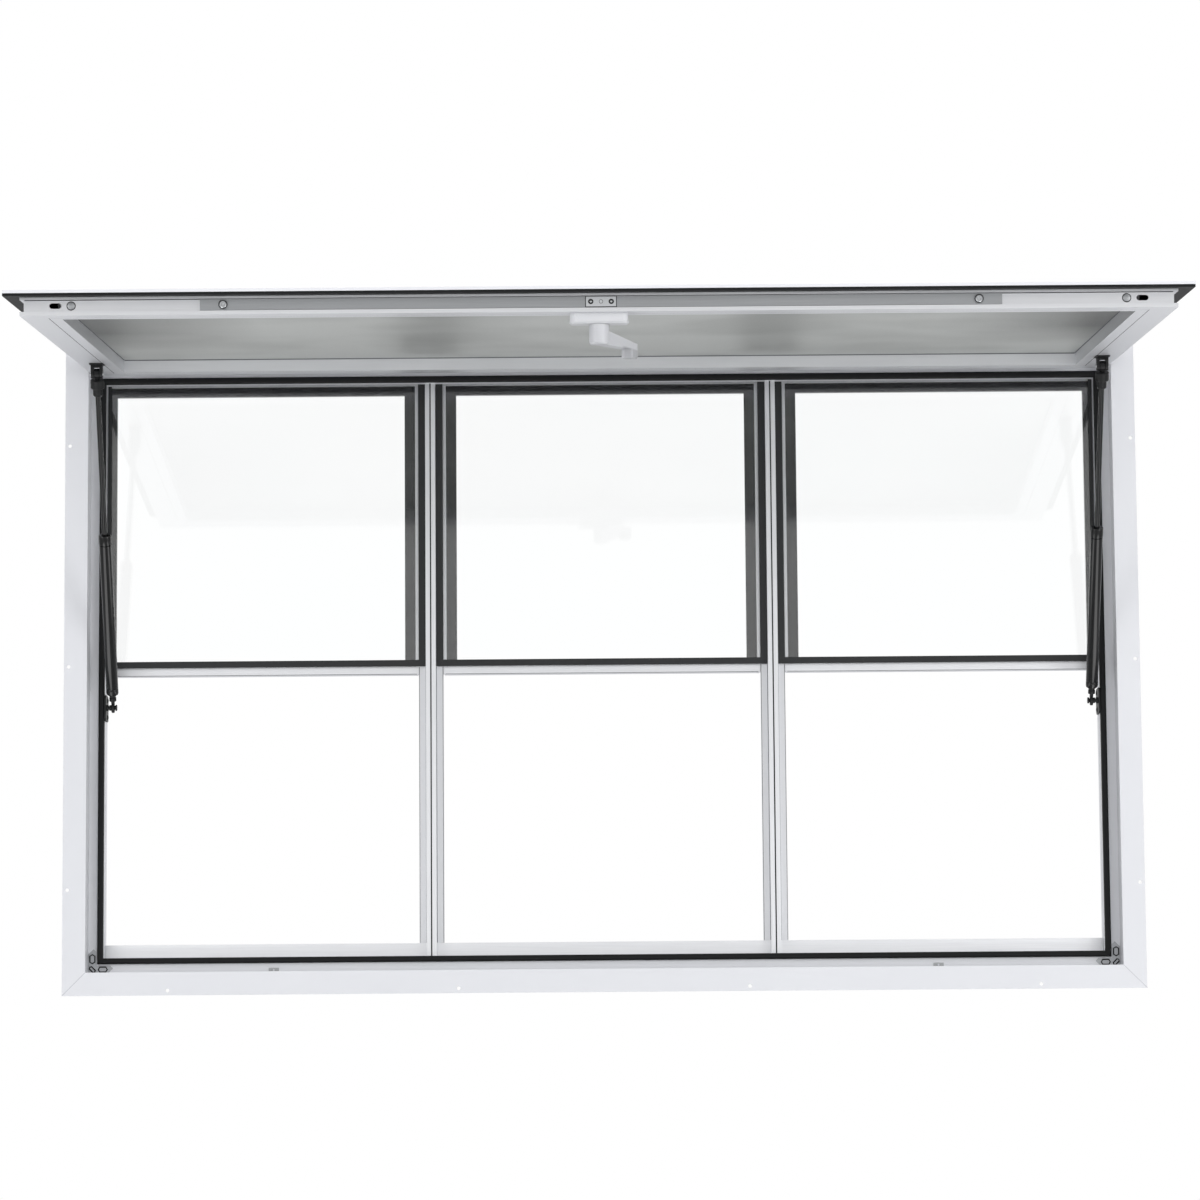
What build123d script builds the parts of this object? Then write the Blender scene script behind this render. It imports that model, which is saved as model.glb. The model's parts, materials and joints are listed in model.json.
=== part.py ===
"""Concession window: flanged frame, three sash bays and a top-hung awning on gas struts."""
import os
from math import atan2, cos, degrees, hypot, radians, sin

from build123d import *

# Frame outline: X right, Y into the building, Z up, origin on the back of the sill flange
FRAME_W = 1590.0
FRAME_H = 970.5
FLANGE_W = 34.0
FLANGE_T = 2.5
WALL_T = 2.5
REBATE_DEPTH = 40.0
LEDGE_W = 14.0
CHANNEL_DEPTH = 38.0
HOLE_D = 5.5
HOLE_EDGE = 7.0
HOLE_CORNER = 155.0
HOLES_ACROSS = 4
HOLES_UP = 3

# Soft seals, running clearances and seats
GASKET_W = 8.5
GASKET_H = 12.0
GASKET_ROUND = 2.5
SEAT = 0.3
SLIDE = 0.3

# Mullions, sill rail and glazing
MULLION_X = 254.5
MULLION_W = 36.0
STRIP_W = 15.0
STRIP_PROUD = 14.0
STRIP_GROOVE_W = 2.0
STRIP_GROOVE_D = 3.0
TRACK_FACE_Y = 58.0
SILL_RAIL_H = 20.4
SILL_RAIL_SET = 1.5
GLASS_T = 4.0
BORDER_T = 1.0
BORDER_BOTTOM = 9.7
GLAZING_BITE = 8.0
PANE_BOTTOM_Z = 471.2

# Sliding sashes, shown raised
SASH_FACE_Y = 60.0
SASH_DEPTH = 14.0
SASH_STRIP = 4.8
SASH_TOP = 1.5
SASH_RAIL_H = 12.0
SASH_BAND = 15.6
SASH_BAND_JAMB = 9.4
SASH_BAND_TOP = 14.0
SASH_BAND_BOTTOM = 8.0
SASH_BAND_T = 8.0
SASH_BOTTOM_Z = 459.4
SASH_ROUND = 3.0

# Corner brackets and keepers on the rebate ledge
CORNER_LEG = 36.0
CORNER_W = 12.0
CORNER_T = 1.6
CORNER_CUT = 7.0
CORNER_INSET = 0.5
HEX_L = 14.6
HEX_W = 8.8
HEX_LINE = 1.4
HEX_DEPTH = 0.6
KEEPER_W = 15.0
KEEPER_H = 6.0
KEEPER_T = 1.6
KEEPER_HOLE_D = 3.0

# Awning, drawn closed and swung open about the hinge for the rest pose
OPEN_ANGLE = 85.0
HINGE_Y = -12.0
HINGE_DROP = 25.5
HINGE_BEAD_R = 3.0
HINGE_RING_T = 2.9
HINGE_CLEAR = 0.3
HINGE_STRIP_H = 17.0
HINGE_STRIP_DROP = 8.0
HINGE_END = 6.0
AWNING_SIDE_GAP = 10.0
AWNING_TOP_GAP = 9.5
AWNING_SILL_GAP = 10.0
SEAL_GAP = 7.0
SEAL_T = 3.6
SEAL_LAP = 20.0
SKIN_T = 4.0
SKIN_HINGE_GAP = 9.0
AWNING_DEPTH = 24.0
RAIL_W = 50.0
RAIL_WALL = 2.5
RAIL_INNER_WALL = 5.0
RAIL_RIB = 3.2
RAIL_LIP = 5.2
WEB_RECESS = 5.0
BEAD_W = 16.0
LINE_W = 1.0
PANEL_RECESS = 18.0
PANEL_T = 2.0
PANEL_BITE = 1.8

# Lock rod, its plate and the handle on the free rail
ROD_HALF = 520.0
LOCK_SHIFT = 2.8
ROD_T = 3.0
ROD_MARGIN = 0.6
ROLLER_END = 30.0
ROLLER_D = 12.0
ROLLER_H = 3.0
LOCK_PLATE_W = 39.0
LOCK_PLATE_T = 2.0
WEB_SLOT_END = 46.0
WEB_SLOT_L = 15.6
WEB_SLOT_W = 7.2
HANDLE_W = 78.0
HANDLE_L = 34.0
HANDLE_H = 13.5
HANDLE_ROUND = 9.0
HANDLE_RIM = 1.2
HANDLE_RIM_T = 3.0
HANDLE_EDGE = 2.4
HANDLE_S = 34.0
HUB_D = 26.6
HUB_H = 26.0
HUB_EDGE = 2.0
ARM_X = 40.0
ARM_S = 75.0
ARM_W = 16.0
ARM_END_W = 18.0
ARM_T = 20.0
ARM_END_T = 8.0
GRIP_DROP = 12.0
GRIP_EDGE = 1.5

# Gas struts
STRUT_INSET = 13.0
STRUT_LOW_Y = 34.0
STRUT_LOW_Z = 410.5
STRUT_TOP_S = 190.0
STRUT_STANDOFF = 14.0
TUBE_D = 18.0
TUBE_WALL = 3.0
TUBE_START = 21.0
TUBE_LEN = 249.0
TUBE_EDGE = 2.5
COLLAR_D = 20.0
COLLAR_L = 12.0
STRUT_ROD_D = 8.0
ROD_BITE = 26.0
SOCKET_D = 14.0
SOCKET_L = 25.0
EYE_R = 7.0
EYE_W = 8.0
PIN_R = 3.0
PIN_CLEAR = 0.3
STUD_R = 4.0
NECK_R = 3.5
NECK_L = 9.0
STUD_GAP = 0.5
EAR_T = 4.0
MOUNT_L = 30.0
MOUNT_T = 2.0
MOUNT_LAP = 1.5
BRACKET_H = 38.0
BRACKET_T = 2.5
BRACKET_REACH = 38.0

# Places that follow from the sizes above
Z_LOW = -FLANGE_W / 2
Z_HIGH = Z_LOW + FRAME_H
BODY_S = FLANGE_W - WALL_T
OPEN_S = FLANGE_W + LEDGE_W + GASKET_W
FRAME_BACK = REBATE_DEPTH + CHANNEL_DEPTH
OPEN_X = FRAME_W / 2 - OPEN_S
OPEN_Z0 = Z_LOW + OPEN_S
OPEN_Z1 = Z_HIGH - OPEN_S
SILL_RAIL_TOP = OPEN_Z0 + SILL_RAIL_H
STRUT_X = OPEN_X - STRUT_INSET
HINGE_Z = Z_HIGH - HINGE_DROP
STRIP_Y = TRACK_FACE_Y - STRIP_PROUD
PANE_Y = TRACK_FACE_Y - GLASS_T
SEAL_Y = -FLANGE_T - SEAL_GAP
SKIN_Y = SEAL_Y - SEAL_T
LIP_Y = SEAL_Y + AWNING_DEPTH
AWNING_HALF = FRAME_W / 2 - FLANGE_W - AWNING_SIDE_GAP
AWNING_Z0 = Z_LOW + FLANGE_W + AWNING_SILL_GAP
AWNING_Z1 = Z_HIGH - FLANGE_W - AWNING_TOP_GAP
AWNING_L = AWNING_Z1 - AWNING_Z0
PANEL_Y = LIP_Y - PANEL_RECESS
WEB_Y0 = SEAL_Y + RAIL_RIB
WEB_Y1 = LIP_Y - RAIL_LIP
WEB_SLOT_X = AWNING_HALF - WEB_SLOT_END
ROLLER_X = ROD_HALF - ROLLER_END
HINGE_AXIS = Axis((0, HINGE_Y, HINGE_Z), (1, 0, 0))

NODES = {}


def box_between(lo, hi):
    """Box from its low corner to its high corner."""
    size = [b - a for a, b in zip(lo, hi)]
    return Pos(*lo) * Box(*size, align=(Align.MIN, Align.MIN, Align.MIN))


def cyl_y(x, z, r, y0, y1):
    """Cylinder along Y between two depths."""
    turned = Rot(-90, 0, 0) * Cylinder(r, y1 - y0, align=(Align.CENTER, Align.CENTER, Align.MIN))
    return Pos(x, y0, z) * turned


def cyl_x(y, z, r, x0, x1):
    """Cylinder along X between two stations."""
    turned = Rot(0, 90, 0) * Cylinder(r, x1 - x0, align=(Align.CENTER, Align.CENTER, Align.MIN))
    return Pos(x0, y, z) * turned


def ring(lo, hi, rims):
    """Flat frame between two corners with rims (left, bottom, right, top)."""
    left, bottom, right, top = rims
    outer = box_between(lo, hi)
    inner_lo = (lo[0] + left, lo[1] - 1, lo[2] + bottom)
    inner_hi = (hi[0] - right, hi[1] + 1, hi[2] - top)
    return outer - box_between(inner_lo, inner_hi)


def bar(points, length, depth):
    """Mitred bar along X from a closed profile of (y, s) points, s being the mitre direction."""
    face = make_face(Polyline(*[(-length / 2, y, s) for y, s in points], close=True))
    solid = extrude(face, amount=length, dir=(1, 0, 0))
    half = length / 2
    cut = make_face(Polyline((-half, 0, 0), (half, 0, 0), (half - depth, 0, depth),
                             (-half + depth, 0, depth), close=True))
    wedge = extrude(cut, amount=400, dir=(0, 1, 0), both=True)
    return solid & wedge


def frame_bar(length):
    """Hollow frame extrusion: flange, rebate wall, ledge and inner channel with a glazing slot."""
    outline = [(-FLANGE_T, 0), (-FLANGE_T, FLANGE_W), (REBATE_DEPTH, FLANGE_W),
               (REBATE_DEPTH, OPEN_S), (FRAME_BACK, OPEN_S), (FRAME_BACK, BODY_S),
               (0, BODY_S), (0, 0)]
    solid = bar(outline, length, OPEN_S)
    hollow = [(REBATE_DEPTH + WALL_T, FLANGE_W), (REBATE_DEPTH + WALL_T, OPEN_S - WALL_T),
              (FRAME_BACK - WALL_T, OPEN_S - WALL_T), (FRAME_BACK - WALL_T, FLANGE_W)]
    return solid - bar(hollow, length + 2 * OPEN_S, OPEN_S + length)


def glazing_slot(length):
    """Slot through the channel's inner wall that takes a pane's hidden edge."""
    lo = (-length / 2, PANE_Y - BORDER_T - SEAT, OPEN_S - WALL_T - 1)
    hi = (length / 2, TRACK_FACE_Y + SEAT, OPEN_S + 1)
    return box_between(lo, hi)


def spread(count, low, high):
    """Evenly spaced values from low to high."""
    return [low + (high - low) * i / (count - 1) for i in range(count)]


# Frame: four mitred extrusions with screw holes through the flange
hole_xs = spread(HOLES_ACROSS, HOLE_CORNER - FRAME_W / 2, FRAME_W / 2 - HOLE_CORNER)
hole_zs = spread(HOLES_UP, Z_LOW + HOLE_CORNER, Z_HIGH - HOLE_CORNER)


def screw_hole(x, z):
    """Clearance hole through the flange."""
    return cyl_y(x, z, HOLE_D / 2, -FLANGE_T - 1, 1)


sill = Pos(0, 0, Z_LOW) * frame_bar(FRAME_W)
head = Pos(0, 0, Z_HIGH) * Rot(0, 180, 0) * (frame_bar(FRAME_W) - glazing_slot(FRAME_W))
jamb = frame_bar(FRAME_H) - glazing_slot(FRAME_H)
jamb_left = Pos(-FRAME_W / 2, 0, Z_LOW + FRAME_H / 2) * Rot(0, 90, 0) * jamb
jamb_right = Pos(FRAME_W / 2, 0, Z_LOW + FRAME_H / 2) * Rot(0, -90, 0) * jamb
for x in hole_xs:
    sill -= screw_hole(x, Z_LOW + HOLE_EDGE)
    head -= screw_hole(x, Z_HIGH - HOLE_EDGE)
for z in hole_zs:
    jamb_left -= screw_hole(HOLE_EDGE - FRAME_W / 2, z)
    jamb_right -= screw_hole(FRAME_W / 2 - HOLE_EDGE, z)
NODES["frame_sill"] = sill
NODES["frame_head"] = head
NODES["frame_jamb_left"] = jamb_left
NODES["frame_jamb_right"] = jamb_right

# Bulb gasket seated on the ledge all round the opening
gasket_lo = (-OPEN_X - GASKET_W, REBATE_DEPTH - GASKET_H, OPEN_Z0 - GASKET_W)
gasket_hi = (OPEN_X + GASKET_W, REBATE_DEPTH, OPEN_Z1 + GASKET_W)
gasket = ring(gasket_lo, gasket_hi, [GASKET_W] * 4)
front_edges = [e for e in gasket.edges() if abs(e.center().Y - gasket_lo[1]) < 0.01]
NODES["frame_gasket"] = fillet(front_edges, GASKET_ROUND)

# Corner brackets and keepers lying on the ledge
ledge_x = FRAME_W / 2 - FLANGE_W
ledge_z = Z_LOW + FLANGE_W


def hexagon(u, v, turn, grow):
    """Long hexagon about a point of the bracket, turned by degrees and grown on all sides."""
    half_l = HEX_L / 2 + grow
    half_w = HEX_W / 2 + grow
    flat = half_l - half_w * 0.6
    pts = [(half_l, 0), (flat, half_w), (-flat, half_w), (-half_l, 0), (-flat, -half_w), (flat, -half_w)]
    c = cos(radians(turn))
    n = sin(radians(turn))
    return [(u + c * a - n * b, v + n * a + c * b) for a, b in pts]


def bracket_plate(side, pts, depth, thick):
    """Plate on the ledge from points counted inwards from a lower corner of the rebate."""
    outline = [(side * (ledge_x - u), REBATE_DEPTH - depth, ledge_z + v) for u, v in pts]
    return extrude(make_face(Polyline(*outline, close=True)), amount=thick, dir=(0, -1, 0))


def corner_bracket(side):
    """Flat L plate with clipped leg ends and three embossed hexagons."""
    x0 = CORNER_INSET
    pts = [(x0, x0), (CORNER_LEG - CORNER_CUT, x0), (CORNER_LEG, x0 + CORNER_CUT),
           (CORNER_LEG, CORNER_W - CORNER_CUT / 2), (CORNER_LEG - CORNER_CUT / 2, CORNER_W),
           (CORNER_W, CORNER_W), (CORNER_W, CORNER_LEG - CORNER_CUT / 2),
           (CORNER_W - CORNER_CUT / 2, CORNER_LEG), (x0 + CORNER_CUT, CORNER_LEG),
           (x0, CORNER_LEG - CORNER_CUT)]
    plate = bracket_plate(side, pts, 0, CORNER_T)
    mid = (x0 + CORNER_W) / 2
    reach = CORNER_LEG - CORNER_CUT - HEX_L / 2
    for u, v, turn, grow in ((reach, mid, 0, 0), (mid, reach, 90, 0), (mid, mid, -45, -HEX_LINE)):
        outer = bracket_plate(side, hexagon(u, v, turn, grow), CORNER_T - HEX_DEPTH, 2 * HEX_DEPTH)
        inner = bracket_plate(side, hexagon(u, v, turn, grow - HEX_LINE), CORNER_T - HEX_DEPTH, 2 * HEX_DEPTH)
        plate -= outer - inner
    return plate


def keeper(side):
    """Small strike plate with a hole."""
    x = side * ROLLER_X + LOCK_SHIFT
    lo = (x - KEEPER_W / 2, REBATE_DEPTH - KEEPER_T, ledge_z + 1)
    hi = (x + KEEPER_W / 2, REBATE_DEPTH, ledge_z + 1 + KEEPER_H)
    hole_z = ledge_z + 1 + KEEPER_H / 2
    return box_between(lo, hi) - cyl_y(x, hole_z, KEEPER_HOLE_D / 2, lo[1] - 1, hi[1] + 1)


NODES["corner_brackets"] = Compound([corner_bracket(-1), corner_bracket(1)])
NODES["sill_keepers"] = Compound([keeper(-1), keeper(1)])

# Sill rail and mullions that carry the panes and guide the sashes
NODES["sill_rail"] = box_between((-OPEN_X + SEAT, TRACK_FACE_Y + SILL_RAIL_SET, OPEN_Z0),
                                 (OPEN_X - SEAT, FRAME_BACK, SILL_RAIL_TOP))


def mullion(x):
    """Track body with a grooved front strip."""
    body = box_between((x - MULLION_W / 2, TRACK_FACE_Y, SILL_RAIL_TOP),
                       (x + MULLION_W / 2, FRAME_BACK, OPEN_Z1))
    strip = box_between((x - STRIP_W / 2, STRIP_Y, OPEN_Z0),
                        (x + STRIP_W / 2, TRACK_FACE_Y, OPEN_Z1))
    groove = box_between((x - STRIP_GROOVE_W / 2, STRIP_Y - 1, OPEN_Z0 - 1),
                         (x + STRIP_GROOVE_W / 2, STRIP_Y + STRIP_GROOVE_D, OPEN_Z1 + 1))
    return body + strip - groove


NODES["mullion_left"] = mullion(-MULLION_X)
NODES["mullion_right"] = mullion(MULLION_X)

# Three bays: fixed front pane with a black border, and the raised sash behind it
half_strip = STRIP_W / 2
half_track = MULLION_W / 2
bays = {
    "left": (-OPEN_X, -MULLION_X, True, False),
    "centre": (-MULLION_X, MULLION_X, False, False),
    "right": (MULLION_X, OPEN_X, False, True),
}
track_lap = half_track - half_strip
for name, (x0, x1, jamb_low, jamb_high) in bays.items():
    pane_x0 = x0 - GLAZING_BITE if jamb_low else x0 + half_strip + SEAT
    pane_x1 = x1 + GLAZING_BITE if jamb_high else x1 - half_strip - SEAT
    pane_top = OPEN_Z1 + GLAZING_BITE
    NODES["fixed_pane_" + name] = box_between((pane_x0, PANE_Y, PANE_BOTTOM_Z),
                                              (pane_x1, TRACK_FACE_Y, pane_top))
    rims = (GLAZING_BITE if jamb_low else track_lap, BORDER_BOTTOM,
            GLAZING_BITE if jamb_high else track_lap, GLAZING_BITE)
    NODES["pane_border_" + name] = ring((pane_x0, PANE_Y - BORDER_T, PANE_BOTTOM_Z),
                                        (pane_x1, PANE_Y, pane_top), rims)
    sash_x0 = x0 + SLIDE if jamb_low else x0 + half_track + SLIDE
    sash_x1 = x1 - SLIDE if jamb_high else x1 - half_track - SLIDE
    sash_top = OPEN_Z1 - SLIDE
    sash_back = SASH_FACE_Y + SASH_DEPTH
    sash = ring((sash_x0, SASH_FACE_Y, SASH_BOTTOM_Z), (sash_x1, sash_back, sash_top),
                (SASH_STRIP, SASH_RAIL_H, SASH_STRIP, SASH_TOP))
    low_corners = [e for e in sash.edges().filter_by(Axis.Y) if e.center().Z < SASH_BOTTOM_Z + 0.1]
    NODES["sliding_sash_" + name] = fillet(low_corners, SASH_ROUND)
    band_lo = (sash_x0 + SASH_STRIP, SASH_FACE_Y, SASH_BOTTOM_Z + SASH_RAIL_H)
    band_hi = (sash_x1 - SASH_STRIP, SASH_FACE_Y + SASH_BAND_T, sash_top - SASH_TOP)
    band = ring(band_lo, band_hi, (SASH_BAND_JAMB if jamb_low else SASH_BAND, SASH_BAND_BOTTOM,
                                   SASH_BAND_JAMB if jamb_high else SASH_BAND, SASH_BAND_TOP))
    glass_y = SASH_FACE_Y + SASH_BAND_T
    NODES["sash_gasket_" + name] = band
    NODES["sash_glass_" + name] = box_between((band_lo[0], glass_y, band_lo[2]),
                                              (band_hi[0], glass_y + GLASS_T, band_hi[2]))

# Hinge receiver on the head flange: an open ring that holds the awning's bead
ring_in = HINGE_BEAD_R + HINGE_CLEAR
ring_out = ring_in + HINGE_RING_T
hinge_half = AWNING_HALF - HINGE_END
receiver = (cyl_x(HINGE_Y, HINGE_Z, ring_out, -hinge_half, hinge_half)
            + box_between((-hinge_half, HINGE_Y, HINGE_Z - HINGE_BEAD_R),
                          (hinge_half, -FLANGE_T, HINGE_Z + HINGE_BEAD_R))
            + box_between((-hinge_half, -2 * FLANGE_T, HINGE_Z - HINGE_STRIP_DROP),
                          (hinge_half, -FLANGE_T, HINGE_Z - HINGE_STRIP_DROP + HINGE_STRIP_H)))
mouth = [(HINGE_Y, HINGE_Z)]
for angle in (155, 180, 227, 270, 300):
    mouth.append((HINGE_Y + 2 * ring_out * cos(radians(angle)),
                  HINGE_Z + 2 * ring_out * sin(radians(angle))))
mouth_face = make_face(Polyline(*[(-hinge_half - 1, y, z) for y, z in mouth], close=True))
receiver -= extrude(mouth_face, amount=2 * hinge_half + 2, dir=(1, 0, 0)) & box_between(
    (-hinge_half - 1, HINGE_Y - 3 * ring_out, HINGE_Z - ring_out - 1),
    (hinge_half + 1, HINGE_Y + ring_out, HINGE_Z + 3 * ring_out))
receiver -= cyl_x(HINGE_Y, HINGE_Z, ring_in, -hinge_half - 1, hinge_half + 1)
NODES["hinge_receiver"] = receiver

# Awning rails, drawn closed: a grooved outer web for the lock and a recess for the panel
AWNING = {}


def awning_bar(length):
    """Mitred awning extrusion along X, s running in from the lip's outer edge."""
    flat_s = RAIL_W - BEAD_W
    outline = [(SKIN_Y, 0), (WEB_Y0, 0), (WEB_Y0, WEB_RECESS), (WEB_Y1, WEB_RECESS), (WEB_Y1, 0),
               (LIP_Y, 0), (LIP_Y, flat_s - LINE_W / 2), (LIP_Y - LINE_W, flat_s),
               (LIP_Y, flat_s + LINE_W / 2), (LIP_Y, RAIL_W), (PANEL_Y + SEAT, RAIL_W),
               (PANEL_Y + SEAT, RAIL_W - PANEL_BITE - SEAT),
               (PANEL_Y - PANEL_T - SEAT, RAIL_W - PANEL_BITE - SEAT),
               (PANEL_Y - PANEL_T - SEAT, RAIL_W), (SKIN_Y, RAIL_W)]
    cavity = [(SKIN_Y + RAIL_WALL, WEB_RECESS + RAIL_WALL), (LIP_Y - RAIL_WALL, WEB_RECESS + RAIL_WALL),
              (LIP_Y - RAIL_WALL, RAIL_W - RAIL_INNER_WALL), (SKIN_Y + RAIL_WALL, RAIL_W - RAIL_INNER_WALL)]
    return bar(outline, length, RAIL_W) - bar(cavity, length + 2 * RAIL_W, RAIL_W + length)


free_rail = Pos(0, 0, AWNING_Z0) * awning_bar(2 * AWNING_HALF)
slot_z0 = AWNING_Z0 + WEB_RECESS - 1
web_mid = (WEB_Y0 + WEB_Y1) / 2
for side in (-1, 1):
    slot = SlotOverall(WEB_SLOT_L, WEB_SLOT_W)
    cutter = extrude(slot, amount=RAIL_WALL + 2)
    free_rail -= Pos(side * WEB_SLOT_X, web_mid, slot_z0) * cutter
hinge_rail = Pos(0, 0, AWNING_Z1) * Rot(0, 180, 0) * awning_bar(2 * AWNING_HALF)
hinge_rail += box_between((-hinge_half, SKIN_Y, AWNING_Z1 - 1),
                          (hinge_half, SKIN_Y + RAIL_WALL, HINGE_Z - HINGE_BEAD_R / 2))
hinge_rail += cyl_x(HINGE_Y, HINGE_Z, HINGE_BEAD_R, -hinge_half, hinge_half)
stile = awning_bar(AWNING_L)
mid_z = AWNING_Z0 + AWNING_L / 2
AWNING["awning_free_rail"] = free_rail
AWNING["awning_hinge_rail"] = hinge_rail
AWNING["awning_stile_left"] = Pos(-AWNING_HALF, 0, mid_z) * Rot(0, 90, 0) * stile
AWNING["awning_stile_right"] = Pos(AWNING_HALF, 0, mid_z) * Rot(0, -90, 0) * stile

# Inner panel held in the rails' slots, outer skin, and the seal under the skin's lap
panel_in = RAIL_W - PANEL_BITE
AWNING["awning_panel"] = box_between(
    (-AWNING_HALF + panel_in, PANEL_Y - PANEL_T, AWNING_Z0 + panel_in),
    (AWNING_HALF - panel_in, PANEL_Y, AWNING_Z1 - panel_in))
skin_half = AWNING_HALF + SEAL_LAP
skin_low = AWNING_Z0 - SEAL_LAP
AWNING["awning_skin"] = box_between((-skin_half, SKIN_Y - SKIN_T, skin_low),
                                    (skin_half, SKIN_Y, HINGE_Z - SKIN_HINGE_GAP))
seal = ring((-skin_half, SKIN_Y, skin_low), (skin_half, SEAL_Y, AWNING_Z1 + 1),
            [SEAL_LAP, SEAL_LAP, SEAL_LAP, 0])
seal -= box_between((-skin_half - 1, SKIN_Y - 1, AWNING_Z1), (skin_half + 1, SEAL_Y + 1, AWNING_Z1 + 2))
AWNING["awning_seal"] = seal

# Lock rod with rollers in the free rail's groove, and the plate on its middle
rod_z1 = AWNING_Z0 + WEB_RECESS - SLIDE
rod_z0 = rod_z1 - ROD_T
rod_y0 = WEB_Y0 + ROD_MARGIN
rod_y1 = WEB_Y1 - ROD_MARGIN
lock_rod = box_between((LOCK_SHIFT - ROD_HALF, rod_y0, rod_z0), (LOCK_SHIFT + ROD_HALF, rod_y1, rod_z1))
for side in (-1, 1):
    roller = Cylinder(ROLLER_D / 2, ROLLER_H + 1, align=(Align.CENTER, Align.CENTER, Align.MIN))
    lock_rod += Pos(side * ROLLER_X + LOCK_SHIFT, web_mid, rod_z0 - ROLLER_H) * roller
AWNING["lock_rod"] = lock_rod
AWNING["lock_plate"] = box_between((LOCK_SHIFT - LOCK_PLATE_W / 2, rod_y0, rod_z0 - LOCK_PLATE_T),
                                   (LOCK_SHIFT + LOCK_PLATE_W / 2, rod_y1, rod_z0))

# Handle: rounded base on the free rail, and a lever with hub, tapered arm and grip
hub_z = AWNING_Z0 + HANDLE_S
base_y1 = LIP_Y + HANDLE_H
rim_y0 = base_y1 - HANDLE_RIM_T


def handle_plate(inset, y0, y1):
    """Rounded plate of the handle base, drawn in from the rim's outline."""
    plate = box_between((inset - HANDLE_W / 2, y0, hub_z - HANDLE_L / 2 + inset),
                        (HANDLE_W / 2 - inset, y1, hub_z + HANDLE_L / 2 - inset))
    return fillet(plate.edges().filter_by(Axis.Y), HANDLE_ROUND - inset)


rim = handle_plate(0, rim_y0, base_y1)
rim = chamfer(rim.faces().sort_by(Axis.Y)[-1].edges(), HANDLE_EDGE)
AWNING["handle_base"] = handle_plate(HANDLE_RIM, LIP_Y, rim_y0) + rim
hub_y0 = base_y1 + SLIDE
hub_y1 = hub_y0 + HUB_H
hub = cyl_y(0, hub_z, HUB_D / 2, hub_y0, hub_y1)
hub = chamfer(hub.faces().sort_by(Axis.Y)[-1].edges(), HUB_EDGE)
arm_len = hypot(ARM_X, ARM_S)
arm_turn = degrees(atan2(ARM_X, ARM_S))
arm_side = make_face(Polyline((0, hub_y1, 0), (0, hub_y1 - ARM_T, 0), (0, hub_y1 - ARM_END_T, arm_len),
                              (0, hub_y1 - ARM_END_T, arm_len + ARM_END_W), (0, hub_y1, arm_len + ARM_END_W),
                              close=True))
arm_plan = make_hull((Circle(ARM_W / 2) + Pos(0, arm_len) * Circle(ARM_END_W / 2)).edges())
arm = extrude(arm_side, amount=HUB_D, dir=(1, 0, 0), both=True)
arm &= extrude(Plane.XZ * arm_plan, amount=2 * hub_y1, both=True)
grip = box_between((-ARM_END_W / 2, hub_y1 - ARM_END_T, arm_len - ARM_END_W / 2),
                   (ARM_END_W / 2, hub_y1 + GRIP_DROP, arm_len + ARM_END_W / 2))
grip = fillet(grip.edges().filter_by(Axis.Y), ARM_END_W / 4)
grip = chamfer(grip.faces().sort_by(Axis.Y)[-1].edges(), GRIP_EDGE)
AWNING["handle_lever"] = hub + Pos(0, 0, hub_z) * Rot(0, arm_turn, 0) * (arm + grip)

# Strut mounts on the awning: a foot, two ears and the pin between them
top_z = AWNING_Z1 - STRUT_TOP_S
top_y = LIP_Y + STRUT_STANDOFF
ear_in = EYE_W / 2 + SLIDE
ear_out = ear_in + EAR_T


def strut_mount(side):
    """Clevis that the strut's upper eye turns in."""
    reach = ear_out + MOUNT_LAP
    x = side * STRUT_X
    solid = box_between((x - reach, LIP_Y, top_z - MOUNT_L / 2),
                        (x + reach, LIP_Y + MOUNT_T, top_z + MOUNT_L / 2))
    for x0 in (x - ear_out, x + ear_in):
        solid += box_between((x0, LIP_Y, top_z - EYE_R), (x0 + EAR_T, top_y, top_z + EYE_R))
        solid += cyl_x(top_y, top_z, EYE_R, x0, x0 + EAR_T)
    return solid + cyl_x(top_y, top_z, PIN_R, x - ear_in, x + ear_in)


AWNING["strut_mount_left"] = strut_mount(-1)
AWNING["strut_mount_right"] = strut_mount(1)
for name, solid in AWNING.items():
    NODES[name] = solid.rotate(HINGE_AXIS, -OPEN_ANGLE)

# Gas struts, drawn between the two pivots at the rest pose
open_turn = radians(OPEN_ANGLE)
arm_y = top_y - HINGE_Y
arm_z = top_z - HINGE_Z
TOP = (HINGE_Y + arm_y * cos(open_turn) + arm_z * sin(open_turn),
       HINGE_Z - arm_y * sin(open_turn) + arm_z * cos(open_turn))
strut_len = hypot(TOP[0] - STRUT_LOW_Y, TOP[1] - STRUT_LOW_Z)
strut_dir = (0, (TOP[0] - STRUT_LOW_Y) / strut_len, (TOP[1] - STRUT_LOW_Z) / strut_len)
tube_end = TUBE_START + TUBE_LEN


def along(r, start, stop):
    """Cylinder on the strut's own axis."""
    return Pos(0, 0, start) * Cylinder(r, stop - start, align=(Align.CENTER, Align.CENTER, Align.MIN))


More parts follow.
